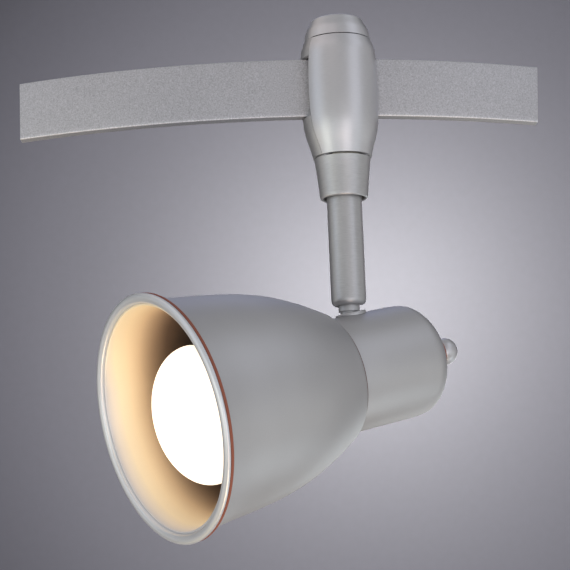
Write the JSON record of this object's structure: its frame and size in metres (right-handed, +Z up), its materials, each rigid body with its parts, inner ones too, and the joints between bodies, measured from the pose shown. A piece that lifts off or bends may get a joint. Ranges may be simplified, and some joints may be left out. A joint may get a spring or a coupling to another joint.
{
  "type": "track spotlight",
  "caption": "Track spotlight with a bell-shaped head on a short swivelling stem, hung from an adapter that runs along a curved rail section.",
  "frame": {"origin": "middle of the rail section's top face", "axes": "+Z up out of the rail's top face, +X along the rail's tangent at its middle, +Y towards the centre of the rail's curve"},
  "size_m": [0.2014, 0.1101, 0.1944],
  "materials": {
    "satin_silver": "satin, fine bead-blasted and lacquered",
    "rail_aluminium": "sandblasted, fine grain",
    "steel": "zinc plated",
    "brass": "bright",
    "copper": "drawn copper strip",
    "white_plastic": "heat-resisting moulding",
    "nylon": "natural nylon",
    "red_fibre": "red-brown sealing ring",
    "reflector": "satin reflector, warm in the lamp's light",
    "lamp_glass": "frosted front, lit",
    "black_glass": "vitreous insulator",
    "brown_wire": "silicone sleeve",
    "blue_wire": "silicone sleeve"
  },
  "bodies": {
    "rail": {"rail_band": "rail_aluminium", "rail_insulator": "white_plastic", "rail_conductor_upper": "copper", "rail_conductor_lower": "copper"},
    "adapter": {"adapter_body": "satin_silver", "front_shell": "satin_silver", "clamp_pad": "nylon", "contact_carrier": "white_plastic", "contact_upper": "brass", "contact_lower": "brass", "terminal_screw_upper": "steel", "terminal_screw_lower": "steel", "shell_screw_upper": "steel", "shell_screw_lower": "steel", "stem_bush": "nylon", "stem_keeper_ring": "steel", "pan_stop_pin": "steel", "cap_stud": "steel", "feed_wire_live": "brown_wire", "feed_wire_neutral": "blue_wire"},
    "washer": {"cap_washer": "steel"},
    "cap": {"top_cap": "satin_silver"},
    "stem": {"stem_tube": "satin_silver", "ball_seat": "nylon", "clamp_sleeve": "steel", "stem_wire_live": "brown_wire", "stem_wire_neutral": "blue_wire"},
    "head": {"ball_stud": "satin_silver", "saddle_washer": "satin_silver", "stud_wedge_washer": "steel", "stud_nut": "brass", "head_wire_live": "brown_wire", "head_wire_neutral": "blue_wire", "housing": "satin_silver", "rim_ring": "satin_silver", "rim_gasket": "red_fibre", "shade": "satin_silver", "reflector_liner": "reflector", "seam_gasket": "red_fibre", "socket_bracket": "steel", "head_bolt": "steel", "bolt_nut": "steel", "finial": "satin_silver", "finial_washer": "red_fibre", "socket_body": "white_plastic", "socket_shell": "brass", "socket_contact": "brass", "shade_ring": "white_plastic", "socket_terminal_left": "brass", "socket_terminal_right": "brass", "bracket_screw_left": "steel", "bracket_screw_right": "steel"},
    "bulb": {"bulb_glass": "lamp_glass", "bulb_cap": "brass", "bulb_insulator": "black_glass", "bulb_tip": "steel"}
  },
  "joints": [
    {"name": "rail_travel", "type": "hinge", "parent": "rail", "child": "adapter", "pos_m": [0, 0.26, 0], "axis": [0, 0, 1], "range_deg": [-24, 14]},
    {"name": "cap_lift", "type": "slide", "parent": "adapter", "child": "washer", "axis": [0, 0, 1], "range_m": [0, 0.0016]},
    {"name": "cap_turn", "type": "hinge", "parent": "washer", "child": "cap", "pos_m": [0.02214, 0.0017, 0.0115], "axis": [0, 0, 1], "range_deg": [0, 720]},
    {"name": "pan", "type": "hinge", "parent": "adapter", "child": "stem", "pos_m": [0.02214, 0.0017, -0.04], "axis": [0, 0, 1], "range_deg": [-190, 140]},
    {"name": "tilt", "type": "hinge", "parent": "stem", "child": "head", "pos_m": [0.02214, 0.0017, -0.0898], "axis": [0.521, -0.8536, 0], "range_deg": [-8, 68]},
    {"name": "bulb_out", "type": "slide", "parent": "head", "child": "bulb", "axis": [-0.8336, -0.5089, -0.2147], "range_m": [0, 0.1]}
  ],
  "couplings": [
    {"joint": "cap_lift", "follows": "cap_turn", "m_per_rad": 0.0001273}
  ]
}
